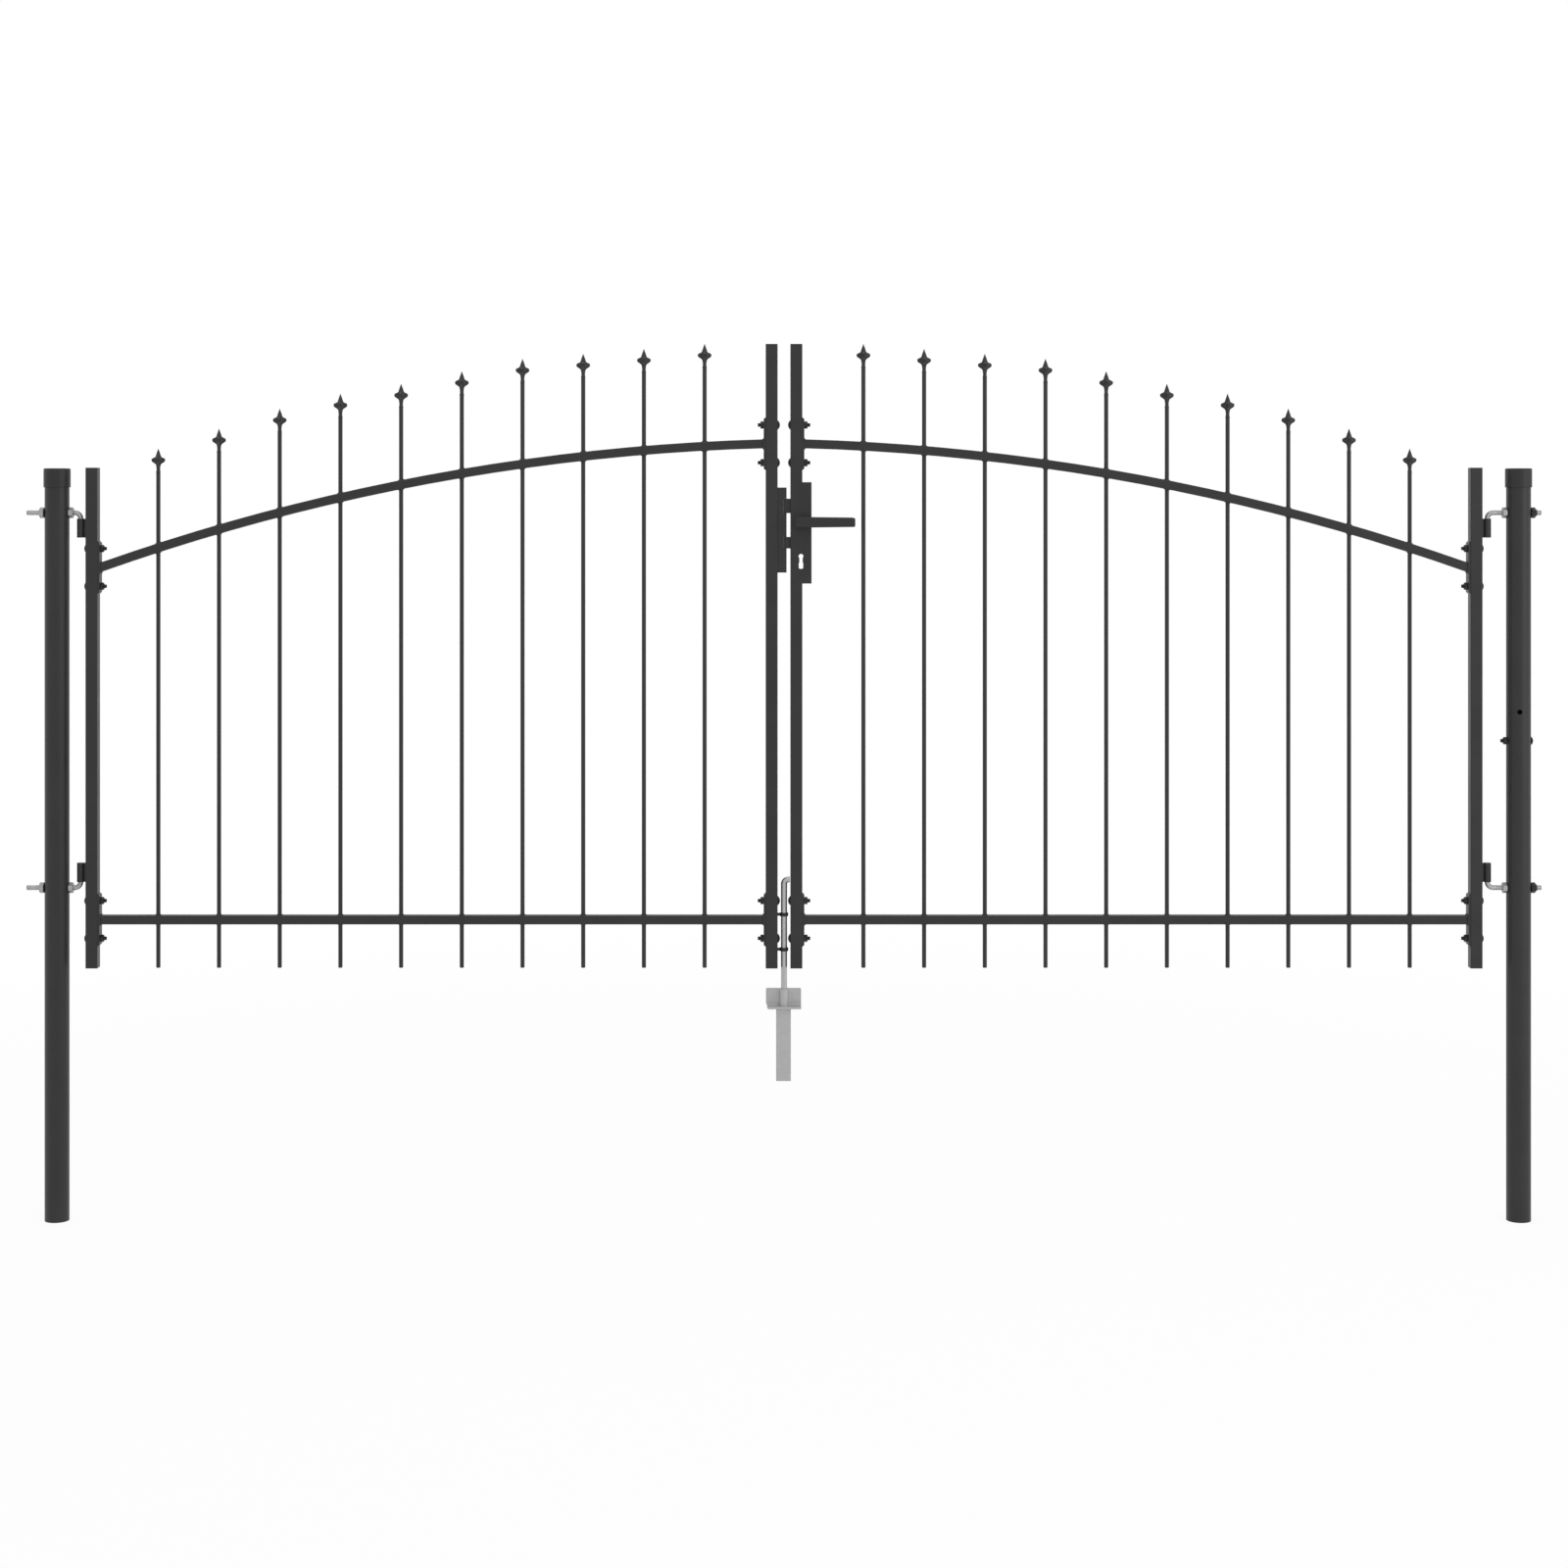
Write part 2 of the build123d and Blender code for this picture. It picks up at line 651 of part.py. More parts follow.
def lock_bolt(bottom, height, thickness):
    half = thickness / 2
    bolt = block((bolt_tip, bolt_end), (-half, half), (bottom, bottom + height))
    return chamfer(bolt.edges().filter_by(Axis.Y), bolt_edge)


def latch_bolt():
    # The nose slopes on the side that meets the keep as the leaf swings shut
    bolt = lock_bolt(latch_bottom, latch_height, latch_thickness)
    back = latch_thickness / 2
    corner = [(bolt_tip, back), (bolt_tip + latch_slope_length, back), (bolt_tip, back - latch_slope)]
    wedge = extrude(make_face(Polyline(*corner, close=True)), latch_height)
    return bolt - Pos(0, 0, latch_bottom) * wedge


save("lock_case", [right_side(lock_case())])
save("latch_bolt", [right_side(latch_bolt())])
save("dead_bolt", [right_side(lock_bolt(dead_bolt_bottom, dead_bolt_height, dead_bolt_thickness))])

# Levers and spindle


def lever_outline():
    # A bar that tapers a little from its root to its tip, with rounded corners
    half_root = lever_root_width / 2
    half_tip = lever_tip_width / 2
    corners = [
        (-lever_root_back, -half_root),
        (lever_reach, -half_tip),
        (lever_reach, half_tip),
        (-lever_root_back, half_root),
    ]
    bar = make_face(Polyline(*corners, close=True))
    bar = fillet(bar.vertices().group_by(Axis.X)[0], lever_root_corner)
    return fillet(bar.vertices().group_by(Axis.X)[-1], lever_tip_corner)


def front_lever():
    near = -half_stile - lever_face_gap
    neck_end = near - lever_neck_length
    neck_radius = spindle_diameter / 2 + lever_neck_wall
    blade = extrude(Plane.XZ * lever_outline(), lever_thickness)
    face = blade.faces().sort_by(Axis.Y)[0]
    blade = fillet(face.edges(), lever_rounding)
    lever = Pos(spindle_axis, neck_end, lever_z) * blade
    lever += rod_y(neck_radius, near, neck_end, spindle_axis, lever_z)
    bore = spindle_diameter / 2 + thread_fit
    return lever - rod_y(bore, near + cut_overrun, near - spindle_grip, spindle_axis, lever_z)


spindle_half = half_stile + lever_face_gap + spindle_grip
spindle = rod_y(spindle_diameter / 2, -spindle_half, spindle_half, spindle_axis, lever_z)
save("front_lever", [right_side(front_lever())])
save("back_lever", [right_side(mirror(front_lever(), about=Plane.XZ))])
save("lever_spindle", [right_side(spindle)])

# Keep, drop rod and guide eyes on the left leaf, drawn outwards as the other side pieces are


def keep_notch(bottom, height):
    # Room for a lock bolt, open in front and behind so that a leaf can swing past it
    depth = bolt_tip - keep_bolt_gap
    return block(
        (-depth, keep_mouth - cut_overrun),
        (-keep_depth, keep_depth),
        (bottom - keep_bolt_gap, bottom + height + keep_bolt_gap),
    )


def lock_keep():
    # Narrow box of sheet steel on the stile's face
    foot = dead_bolt_bottom - keep_foot
    head = latch_top + keep_head
    half_depth = keep_depth / 2
    half_room = half_depth - keep_wall
    keep = block((keep_mouth, inner_face), (-half_depth, half_depth), (foot, head))
    keep -= block(
        (keep_mouth + keep_wall, inner_face - keep_wall),
        (-half_room, half_room),
        (foot + keep_wall, head - keep_wall),
    )
    keep -= keep_notch(latch_bottom, latch_height)
    return keep - keep_notch(dead_bolt_bottom, dead_bolt_height)


def guide_eye(z):
    half_height = guide_ring_height / 2
    bore = rod_diameter / 2 + guide_fit
    ring = rod_z(bore + guide_ring_wall, z - half_height, z + half_height, 0)
    ring = fillet(ring.edges().filter_by(GeomType.CIRCLE), guide_rounding)
    shank = rod_x(guide_shank_diameter / 2, 0, inner_face + guide_shank_length, z)
    return ring + shank - rod_z(bore, z - stile_size, z + stile_size, 0)


def drop_rod():
    foot = stop_base_top + rod_foot_gap
    leg_z = bottom_rail_z + rod_leg_rise
    leg_end = rod_leg_gap - inner_face
    points = [(0, 0, foot), (0, 0, leg_z), (leg_end, 0, leg_z)]
    rod = bent_rod(rod_diameter / 2, points, rod_bend_radius)
    ends = rod.edges().filter_by(GeomType.CIRCLE)
    foot_edge = ends.sort_by(Axis.Z)[0]
    return chamfer(foot_edge, rod_end_chamfer)


save("lock_keep", [left_side(lock_keep())])
save("rod_guides", [left_side(guide_eye(z)) for z in guide_heights])
save("drop_rod", [left_side(drop_rod())])

# Ground stop: an upright plate, a base and the drop rod's sleeve, on a hollow spike


def sleeve_profile(back):
    # Half round in front of the rod's axis, flared out to the upright's face behind it
    radius = stop_sleeve_diameter / 2
    half_skirt = radius + stop_flare
    front = Circle(radius) & (Pos(0, -radius / 2) * Rectangle(2 * radius, radius))
    skirt = Pos(0, back / 2) * Rectangle(2 * half_skirt, back)
    for x in (-half_skirt, half_skirt):
        skirt -= Pos(x, 0) * Circle(stop_flare)
    return front + skirt


def stop_corner(left):
    corner = [
        (left, stop_bottom),
        (left + stop_corner_width, stop_bottom),
        (left, stop_bottom + stop_corner_height),
    ]
    return extrude(Plane.XZ * make_face(Polyline(*corner, close=True)), stop_depth, both=True)


def ground_stop():
    left = -stop_offset - stop_width / 2
    sides = (left, left + stop_width)
    back = stop_flare + stop_sheet
    upright = block(sides, (stop_flare, back), (stop_base_top, stop_top))
    top_corners = upright.edges().filter_by(Axis.Y).group_by(Axis.Z)[-1]
    upright = chamfer(top_corners, stop_upright_cut)
    bracket = upright + block(sides, (back - stop_depth, back), (stop_bottom, stop_base_top))
    inner_fold = bracket.edges().filter_by(Axis.X).group_by(Axis.Y)[1].sort_by(Axis.Z)[0]
    bracket = fillet(inner_fold, stop_fold)
    sleeve = Pos(0, 0, stop_base_top) * extrude(sleeve_profile(back), stop_top - stop_base_top)
    bore = rod_diameter / 2 + stop_socket_fit
    stop = bracket + sleeve - stop_corner(left)
    return stop - rod_z(bore, stop_bottom - cut_overrun, stop_top + cut_overrun, 0)


spike = extrude(tube_section(spike_width, spike_depth, spike_wall, spike_rounding), spike_length)
save("ground_stop", [right_side(ground_stop())])
save("ground_spike", [right_side(Pos(-stop_offset, 0, stop_bottom - spike_length) * spike)])
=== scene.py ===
import math
import bmesh
import bpy
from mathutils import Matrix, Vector


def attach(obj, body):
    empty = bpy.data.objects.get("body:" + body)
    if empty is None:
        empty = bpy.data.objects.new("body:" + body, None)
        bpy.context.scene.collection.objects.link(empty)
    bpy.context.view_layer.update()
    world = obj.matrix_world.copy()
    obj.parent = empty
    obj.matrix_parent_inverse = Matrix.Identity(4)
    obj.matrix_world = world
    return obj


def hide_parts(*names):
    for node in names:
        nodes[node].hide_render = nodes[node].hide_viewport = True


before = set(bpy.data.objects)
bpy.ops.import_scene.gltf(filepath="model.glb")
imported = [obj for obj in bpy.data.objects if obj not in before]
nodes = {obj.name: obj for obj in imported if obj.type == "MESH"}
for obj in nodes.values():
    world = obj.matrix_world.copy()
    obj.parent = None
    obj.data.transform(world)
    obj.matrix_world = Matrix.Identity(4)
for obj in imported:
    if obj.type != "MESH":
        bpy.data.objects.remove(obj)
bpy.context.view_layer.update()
mm = 0.001
scene = bpy.context.scene
scene.view_settings.view_transform = "Standard"
print("frame loaded:", len(nodes), "CAD nodes")

# Places on the gate in millimetres. u runs outwards from the middle of the gate on either side.
gate = {
    "middle": 1457.5,
    "innerFace": 12.75,
    "outerFace": 1398.0,
    "pinAxis": 1410.0,
    "stile": 24.0,
    "plate": 4.0,
    "rail": 18.0,
    "railRounding": 1.5,
    "bottomRail": 602.6,
    "railCentreEnd": 1556.2,
    "railHingeEnd": 1308.5,
    "railRadius": 4335.0,
    "boltSpacing": 75.6,
}
centrePlate = gate["innerFace"] + gate["stile"] + gate["plate"]
hingePlate = gate["outerFace"] - gate["stile"] - gate["plate"]
sides = {"left": -1, "right": 1}


def spot(side, u, y, z):
    return Vector((gate["middle"] + sides[side] * u, y, z))


def railArc():
    run = hingePlate - centrePlate
    fall = gate["railCentreEnd"] - gate["railHingeEnd"]
    chord = math.hypot(run, fall)
    drop = math.sqrt(gate["railRadius"] ** 2 - (chord / 2) ** 2)
    u = centrePlate + run / 2 - drop * fall / chord
    z = gate["railCentreEnd"] - fall / 2 - drop * run / chord
    return u, z


arcU, arcZ = railArc()


def railHeight(u):
    return arcZ + math.sqrt(gate["railRadius"] ** 2 - (u - arcU) ** 2)


def railSlope(u):
    return -(u - arcU) / (railHeight(u) - arcZ)


def linear(hexColour):
    parts = [int(hexColour[i:i + 2], 16) / 255 for i in (1, 3, 5)]
    return [p / 12.92 if p <= 0.04045 else ((p + 0.055) / 1.055) ** 2.4 for p in parts] + [1.0]


def addNode(tree, kind, settings, inputs):
    node = tree.nodes.new(kind)
    for name, value in settings.items():
        setattr(node, name, value)
    for name, value in inputs.items():
        if isinstance(value, bpy.types.NodeSocket):
            tree.links.new(value, node.inputs[name])
        else:
            node.inputs[name].default_value = value
    return node


def newMaterial(name):
    material = bpy.data.materials.new(name)
    material.use_nodes = True
    tree = material.node_tree
    tree.nodes.clear()
    shader = addNode(tree, "ShaderNodeBsdfPrincipled", {}, {})
    addNode(tree, "ShaderNodeOutputMaterial", {}, {"Surface": shader.outputs["BSDF"]})
    coords = addNode(tree, "ShaderNodeTexCoord", {}, {}).outputs["Object"]
    return material, tree, shader, coords


def perMetre(sizeMm):
    return 1000 / sizeMm


# Polyester powder coat, sprayed and baked on steel: matt anthracite with a slow orange peel and a fine dry grit,
# and a soft sheen only where the eye skims along a face
powderLook = {
    "colour": "#242425",
    "cloudColour": "#29292a",
    "roughness": 0.42,
    "glossier": 0.04,
    "duller": 0.05,
    "specular": 0.35,
    "grit": 0.9,  # real grit is about 0.3 mm, drawn coarser so that it shows
    "peel": 4.0,
    "cloud": 70.0,
    "edge": 0.6,
}


def powderCoat():
    material, tree, shader, coords = newMaterial("powderCoatedSteel")
    look = powderLook
    cloud = addNode(tree, "ShaderNodeTexNoise", {}, {
        "Vector": coords, "Scale": perMetre(look["cloud"]), "Detail": 3.0, "Roughness": 0.6})
    grit = addNode(tree, "ShaderNodeTexNoise", {}, {
        "Vector": coords, "Scale": perMetre(look["grit"]), "Detail": 2.0, "Roughness": 0.7})
    peel = addNode(tree, "ShaderNodeTexNoise", {}, {
        "Vector": coords, "Scale": perMetre(look["peel"]), "Detail": 1.0})
    tint = addNode(tree, "ShaderNodeValToRGB", {}, {"Fac": cloud.outputs["Fac"]})
    tint.color_ramp.elements[0].position = 0.35
    tint.color_ramp.elements[0].color = linear(look["colour"])
    tint.color_ramp.elements[1].position = 0.65
    tint.color_ramp.elements[1].color = linear(look["cloudColour"])
    sheen = addNode(tree, "ShaderNodeMapRange", {}, {
        "Value": cloud.outputs["Fac"], "From Min": 0.3, "From Max": 0.7,
        "To Min": look["roughness"] - look["glossier"], "To Max": look["roughness"] + look["duller"]})
    rounded = addNode(tree, "ShaderNodeBevel", {"samples": 4}, {"Radius": look["edge"] * mm})
    slow = addNode(tree, "ShaderNodeBump", {}, {
        "Height": peel.outputs["Fac"], "Strength": 0.12, "Distance": 0.3 * mm, "Normal": rounded.outputs["Normal"]})
    fine = addNode(tree, "ShaderNodeBump", {}, {
        "Height": grit.outputs["Fac"], "Strength": 0.08, "Distance": 0.12 * mm, "Normal": slow.outputs["Normal"]})
    tree.links.new(tint.outputs["Color"], shader.inputs["Base Color"])
    tree.links.new(sheen.outputs["Result"], shader.inputs["Roughness"])
    tree.links.new(fine.outputs["Normal"], shader.inputs["Normal"])
    shader.inputs["Specular IOR Level"].default_value = look["specular"]
    return material


# Black zinc plating on rolled and forged steel: darker than the paint, a satin gleam on rims and flats
fastenerLook = {
    "colour": "#151516",
    "wornColour": "#222223",
    "roughness": 0.42,
    "glossSpread": 0.1,
    "specular": 0.35,
    "mottle": 5.0,
    "scuff": 1.2,  # handling marks, drawn coarser than the real 0.4 mm
}


def blackPlating():
    material, tree, shader, coords = newMaterial("blackZincPlatedSteel")
    look = fastenerLook
    mottle = addNode(tree, "ShaderNodeTexNoise", {}, {
        "Vector": coords, "Scale": perMetre(look["mottle"]), "Detail": 4.0, "Roughness": 0.65})
    scuff = addNode(tree, "ShaderNodeTexNoise", {}, {
        "Vector": coords, "Scale": perMetre(look["scuff"]), "Detail": 2.0})
    tint = addNode(tree, "ShaderNodeValToRGB", {}, {"Fac": mottle.outputs["Fac"]})
    tint.color_ramp.elements[0].position = 0.4
    tint.color_ramp.elements[0].color = linear(look["colour"])
    tint.color_ramp.elements[1].position = 0.75
    tint.color_ramp.elements[1].color = linear(look["wornColour"])
    gleam = addNode(tree, "ShaderNodeMapRange", {}, {
        "Value": mottle.outputs["Fac"],
        "To Min": look["roughness"] + look["glossSpread"], "To Max": look["roughness"] - look["glossSpread"]})
    rounded = addNode(tree, "ShaderNodeBevel", {"samples": 4}, {"Radius": 0.4 * mm})
    bump = addNode(tree, "ShaderNodeBump", {}, {
        "Height": scuff.outputs["Fac"], "Strength": 0.25, "Distance": 0.08 * mm, "Normal": rounded.outputs["Normal"]})
    tree.links.new(tint.outputs["Color"], shader.inputs["Base Color"])
    tree.links.new(gleam.outputs["Result"], shader.inputs["Roughness"])
    tree.links.new(bump.outputs["Normal"], shader.inputs["Normal"])
    shader.inputs["Specular IOR Level"].default_value = look["specular"]
    return material


# Bright zinc plating on drawn steel bar: a plain light grey metal, softly blurred reflections, faint draw lines
zincLook = {
    "colour": "#acacad",
    "dullColour": "#a0a0a1",
    "roughness": 0.44,
    "glossier": 0.1,
    "duller": 0.12,
    "stain": 9.0,
    "drawLine": 0.8,
}


def zincPlating():
    material, tree, shader, coords = newMaterial("zincPlatedSteel")
    look = zincLook
    stain = addNode(tree, "ShaderNodeTexNoise", {}, {
        "Vector": coords, "Scale": perMetre(look["stain"]), "Detail": 4.0, "Roughness": 0.6})
    lines = addNode(tree, "ShaderNodeTexNoise", {}, {
        "Vector": coords, "Scale": perMetre(look["drawLine"]), "Detail": 2.0})
    tint = addNode(tree, "ShaderNodeValToRGB", {}, {"Fac": stain.outputs["Fac"]})
    tint.color_ramp.elements[0].position = 0.35
    tint.color_ramp.elements[0].color = linear(look["dullColour"])
    tint.color_ramp.elements[1].position = 0.6
    tint.color_ramp.elements[1].color = linear(look["colour"])
    gleam = addNode(tree, "ShaderNodeMapRange", {}, {
        "Value": stain.outputs["Fac"],
        "To Min": look["roughness"] + look["duller"], "To Max": look["roughness"] - look["glossier"]})
    rounded = addNode(tree, "ShaderNodeBevel", {"samples": 4}, {"Radius": 0.35 * mm})
    bump = addNode(tree, "ShaderNodeBump", {}, {
        "Height": lines.outputs["Fac"], "Strength": 0.15, "Distance": 0.06 * mm, "Normal": rounded.outputs["Normal"]})
    tree.links.new(tint.outputs["Color"], shader.inputs["Base Color"])
    tree.links.new(gleam.outputs["Result"], shader.inputs["Roughness"])
    tree.links.new(bump.outputs["Normal"], shader.inputs["Normal"])
    shader.inputs["Metallic"].default_value = 1.0
    return material


# Galvanised steel. The folded sheet is a dull silver under the grey bloom of weathered zinc, with a faint frost of
# crystals. The drawn bar is brighter and mirrors the dark stiles along its edges.
sheetLook = {
    "colour": "#aeaeaf",
    "darkCrystal": "#a8a8a9",
    "metallic": 0.25,  # most of the light is scattered by the bloom
    "roughness": 0.36,
    "spread": 0.05,
    "crystal": 7.0,
    "bloom": 28.0,
    "dent": 0.08,
}
barLook = {
    "colour": "#b2b2b3",
    "darkCrystal": "#acacad",
    "metallic": 1.0,
    "roughness": 0.32,
    "spread": 0.03,
    "crystal": 5.0,
    "bloom": 40.0,
    "dent": 0.02,
}


def galvanised(name, look):
    material, tree, shader, coords = newMaterial(name)
    crystal = addNode(tree, "ShaderNodeTexVoronoi", {}, {
        "Vector": coords, "Scale": perMetre(look["crystal"]), "Randomness": 1.0})
    shade = addNode(tree, "ShaderNodeSeparateColor", {}, {"Color": crystal.outputs["Color"]})
    bloom = addNode(tree, "ShaderNodeTexNoise", {}, {
        "Vector": coords, "Scale": perMetre(look["bloom"]), "Detail": 3.0})
    tint = addNode(tree, "ShaderNodeMix", {"data_type": "RGBA"}, {
        "Factor": shade.outputs["Red"], "A": linear(look["darkCrystal"]), "B": linear(look["colour"])})
    frost = addNode(tree, "ShaderNodeMath", {"operation": "MULTIPLY"}, {
        0: shade.outputs["Green"], 1: bloom.outputs["Fac"]})
    gleam = addNode(tree, "ShaderNodeMapRange", {}, {
        "Value": frost.outputs["Value"], "From Max": 0.7,
        "To Min": look["roughness"] - look["spread"], "To Max": look["roughness"] + look["spread"]})
    rounded = addNode(tree, "ShaderNodeBevel", {"samples": 4}, {"Radius": 0.7 * mm})
    bump = addNode(tree, "ShaderNodeBump", {}, {
        "Height": bloom.outputs["Fac"], "Strength": look["dent"], "Distance": 0.4 * mm,
        "Normal": rounded.outputs["Normal"]})
    tree.links.new(tint.outputs["Result"], shader.inputs["Base Color"])
    tree.links.new(gleam.outputs["Result"], shader.inputs["Roughness"])
    tree.links.new(bump.outputs["Normal"], shader.inputs["Normal"])
    shader.inputs["Metallic"].default_value = look["metallic"]
    return material


# Injection-moulded polyethylene and nylon: black-grey, an even spark-eroded grain, softer shine than the paint
plasticLook = {
    "colour": "#232324",
    "roughness": 0.45,
    "glossier": 0.06,
    "duller": 0.08,
    "specular": 0.35,
    "grain": 1.1,  # the mould's grain is about 0.4 mm, drawn coarser so that it shows
    "flow": 22.0,
}


def mouldedPlastic():
    material, tree, shader, coords = newMaterial("mouldedBlackPlastic")
    look = plasticLook
    grain = addNode(tree, "ShaderNodeTexVoronoi", {"feature": "SMOOTH_F1"}, {
        "Vector": coords, "Scale": perMetre(look["grain"])})
    flow = addNode(tree, "ShaderNodeTexNoise", {}, {
        "Vector": coords, "Scale": perMetre(look["flow"]), "Detail": 2.0})
    gleam = addNode(tree, "ShaderNodeMapRange", {}, {
        "Value": flow.outputs["Fac"],
        "To Min": look["roughness"] - look["glossier"], "To Max": look["roughness"] + look["duller"]})
    rounded = addNode(tree, "ShaderNodeBevel", {"samples": 4}, {"Radius": 0.8 * mm})
    bump = addNode(tree, "ShaderNodeBump", {}, {
        "Height": grain.outputs["Distance"], "Strength": 0.2, "Distance": 0.1 * mm,
        "Normal": rounded.outputs["Normal"]})
    tree.links.new(gleam.outputs["Result"], shader.inputs["Roughness"])
    tree.links.new(bump.outputs["Normal"], shader.inputs["Normal"])
    shader.inputs["Base Color"].default_value = linear(look["colour"])
    shader.inputs["Specular IOR Level"].default_value = look["specular"]
    return material


finishes = {
    "powder_coat": powderCoat(),
    "black_fastener": blackPlating(),
    "zinc_steel": zincPlating(),
    "galvanised_steel": galvanised("galvanisedSteel", sheetLook),
    "black_plastic": mouldedPlastic(),
}
for node in nodes.values():
    for place in node.material_slots:
        place.material = finishes[place.material.name]
for place in nodes["drop_rod"].material_slots:
    place.material = galvanised("galvanisedBar", barLook)
print("materials:", len(finishes), "on", len(nodes), "CAD nodes")


# Shapes are lists of points in millimetres and faces, made into pieces at the end
def newShape():
    return {"points": [], "faces": []}


def addRings(shape, rings, loop=False):
    start = len(shape["points"])
    count = len(rings[0])
    for ring in rings:
        shape["points"].extend(ring)
    spans = len(rings) if loop else len(rings) - 1
    for r in range(spans):
        here = start + r * count
        there = start + (r + 1) % len(rings) * count
        for i in range(count):
            k = (i + 1) % count
            shape["faces"].append((here + i, here + k, there + k, there + i))
    if not loop:
        last = start + (len(rings) - 1) * count
        shape["faces"].append(tuple(reversed(range(start, start + count))))
        shape["faces"].append(tuple(range(last, last + count)))


def roundSection(centre, across, up, radius, count):
    turns = [2 * math.pi * i / count for i in range(count)]
    return [centre + (across * math.cos(t) + up * math.sin(t)) * radius for t in turns]


def addBead(shape, path, up, radius, loop):
    # A weld bead along the path, with the ripple that each step of the torch leaves
    walked = 0.0
    rings = []
    for i, point in enumerate(path):
        ahead = path[(i + 1) % len(path)] if loop or i < len(path) - 1 else point
        behind = path[i - 1] if loop or i > 0 else point
        tangent = (ahead - behind).normalized()
        across = tangent.cross(up).normalized()
        walked += (point - path[i - 1]).length if i else 0.0
        size = radius * (1 + weld["ripple"] * math.sin(2 * math.pi * walked / weld["step"]))
        if not loop and i in (0, len(path) - 1):
            size *= weld["endShare"]
        rings.append(roundSection(point, across, up, size, weld["sectionPoints"]))
    addRings(shape, rings, loop)


def addRod(shape, stations, count):
    # Stations along a rod: its centre, its direction and the radius at each turn about it
    rings = []
    for centre, along, radiusAt in stations:
        across = Vector((0, 1, 0))
        up = along.cross(across).normalized()
        ring = []
        for i in range(count):
            turn = 2 * math.pi * i / count
            ring.append(centre + (across * math.cos(turn) + up * math.sin(turn)) * radiusAt(turn))
        rings.append(ring)
    addRings(shape, rings)


def makePiece(name, shape, body, slotName, replaced=(), sharp=35):
    mesh = bpy.data.meshes.new(name)
    mesh.from_pydata([tuple(p * mm) for p in shape["points"]], [], shape["faces"])
    work = bmesh.new()
    work.from_mesh(mesh)
    bmesh.ops.recalc_face_normals(work, faces=work.faces)
    work.to_mesh(mesh)
    work.free()
    mesh.polygons.foreach_set("use_smooth", [True] * len(mesh.polygons))
    mesh.set_sharp_from_angle(angle=math.radians(sharp))
    piece = bpy.data.objects.new(name, mesh)
    scene.collection.objects.link(piece)
    mesh.materials.append(finishes[slotName])
    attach(piece, body)
    if replaced:
        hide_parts(*replaced)
    return piece


# Spear heads: cast points with four hollow-ground blades and a collar
spear = {
    "first": 159.2,
    "pitch": 121.7,
    "rise": 205.0,
    "riseShares": (0.998, 0.99, 1.0, 1.026, 0.996, 0.983, 1.013, 1.012, 0.98, 0.967),
    "height": 48.0,
    "halfWidth": 13.75,
    "edge": 0.8,  # half the thickness of a blade's edge
    "points": 48,
    "tipBlade": 0.08,  # least reach of blade and core before the edge is added
    "tipCore": 0.07,
    # height share, blade share and core share from the collar to the tip
    "levels": (
        (0.0, 0.313, 0.313), (0.008, 0.324, 0.324), (0.052, 0.324, 0.324), (0.071, 0.309, 0.305),
        (0.096, 0.287, 0.28), (0.125, 0.276, 0.269), (0.16, 0.273, 0.262), (0.202, 0.28, 0.262),
        (0.242, 0.298, 0.269), (0.283, 0.32, 0.276), (0.321, 0.343, 0.284), (0.346, 0.375, 0.291),
        (0.367, 0.429, 0.298), (0.383, 0.495, 0.305), (0.402, 0.585, 0.313), (0.421, 0.687, 0.324),
        (0.44, 0.789, 0.335), (0.458, 0.88, 0.345), (0.477, 0.945, 0.353), (0.496, 0.985, 0.358),
        (0.521, 1.0, 0.36), (0.55, 1.0, 0.36), (0.573, 0.985, 0.356), (0.594, 0.945, 0.353), (0.608, 0.88, 0.349),
        (0.621, 0.793, 0.345), (0.633, 0.691, 0.34), (0.646, 0.582, 0.335), (0.658, 0.498, 0.329),
        (0.673, 0.444, 0.321), (0.694, 0.407, 0.313), (0.717, 0.382, 0.298), (0.754, 0.338, 0.273),
        (0.796, 0.295, 0.24), (0.835, 0.247, 0.207), (0.877, 0.193, 0.167), (0.919, 0.137, 0.124),
        (0.954, 0.087, 0.081), (0.979, 0.055, 0.052), (0.993, 0.036, 0.036), (1.0, 0.022, 0.022),
    ),
}


def starSection(blade, core):
    # From a circle to a four-pointed star with hollow sides, then thickened all round by the edge
    power = 1 / (0.5 - math.log2(core / blade))
    flat = []
    for i in range(spear["points"]):
        turn = 2 * math.pi * i / spear["points"]
        c, s = abs(math.cos(turn)), abs(math.sin(turn))
        reach = (c ** power + s ** power) ** (-1 / power) * blade
        flat.append(Vector((reach * math.cos(turn), reach * math.sin(turn), 0)))
    section = []
    for i, point in enumerate(flat):
        run = flat[(i + 1) % len(flat)] - flat[i - 1]
        section.append(point + Vector((run.y, -run.x, 0)).normalized() * spear["edge"])
    return section


def spearHead(shape, foot):
    rings = []
    for level, blade, core in spear["levels"]:
        bladeReach = max(blade * spear["halfWidth"] - spear["edge"], spear["tipBlade"])
        coreReach = min(max(core * spear["halfWidth"] - spear["edge"], spear["tipCore"]), bladeReach)
        lift = Vector((0, 0, spear["height"] * level))
        rings.append([foot + lift + point for point in starSection(bladeReach, coreReach)])
    addRings(shape, rings)


for side in sides:
    heads = newShape()
    for i, share in enumerate(spear["riseShares"]):
        u = spear["first"] + spear["pitch"] * i
        spearHead(heads, spot(side, u, 0, railHeight(u) + spear["rise"] * share - spear["height"]))
    makePiece(side + "SpearHeads", heads, side + "_leaf", "powder_coat", [side + "_spear_heads"], sharp=50)
print("spear heads done")


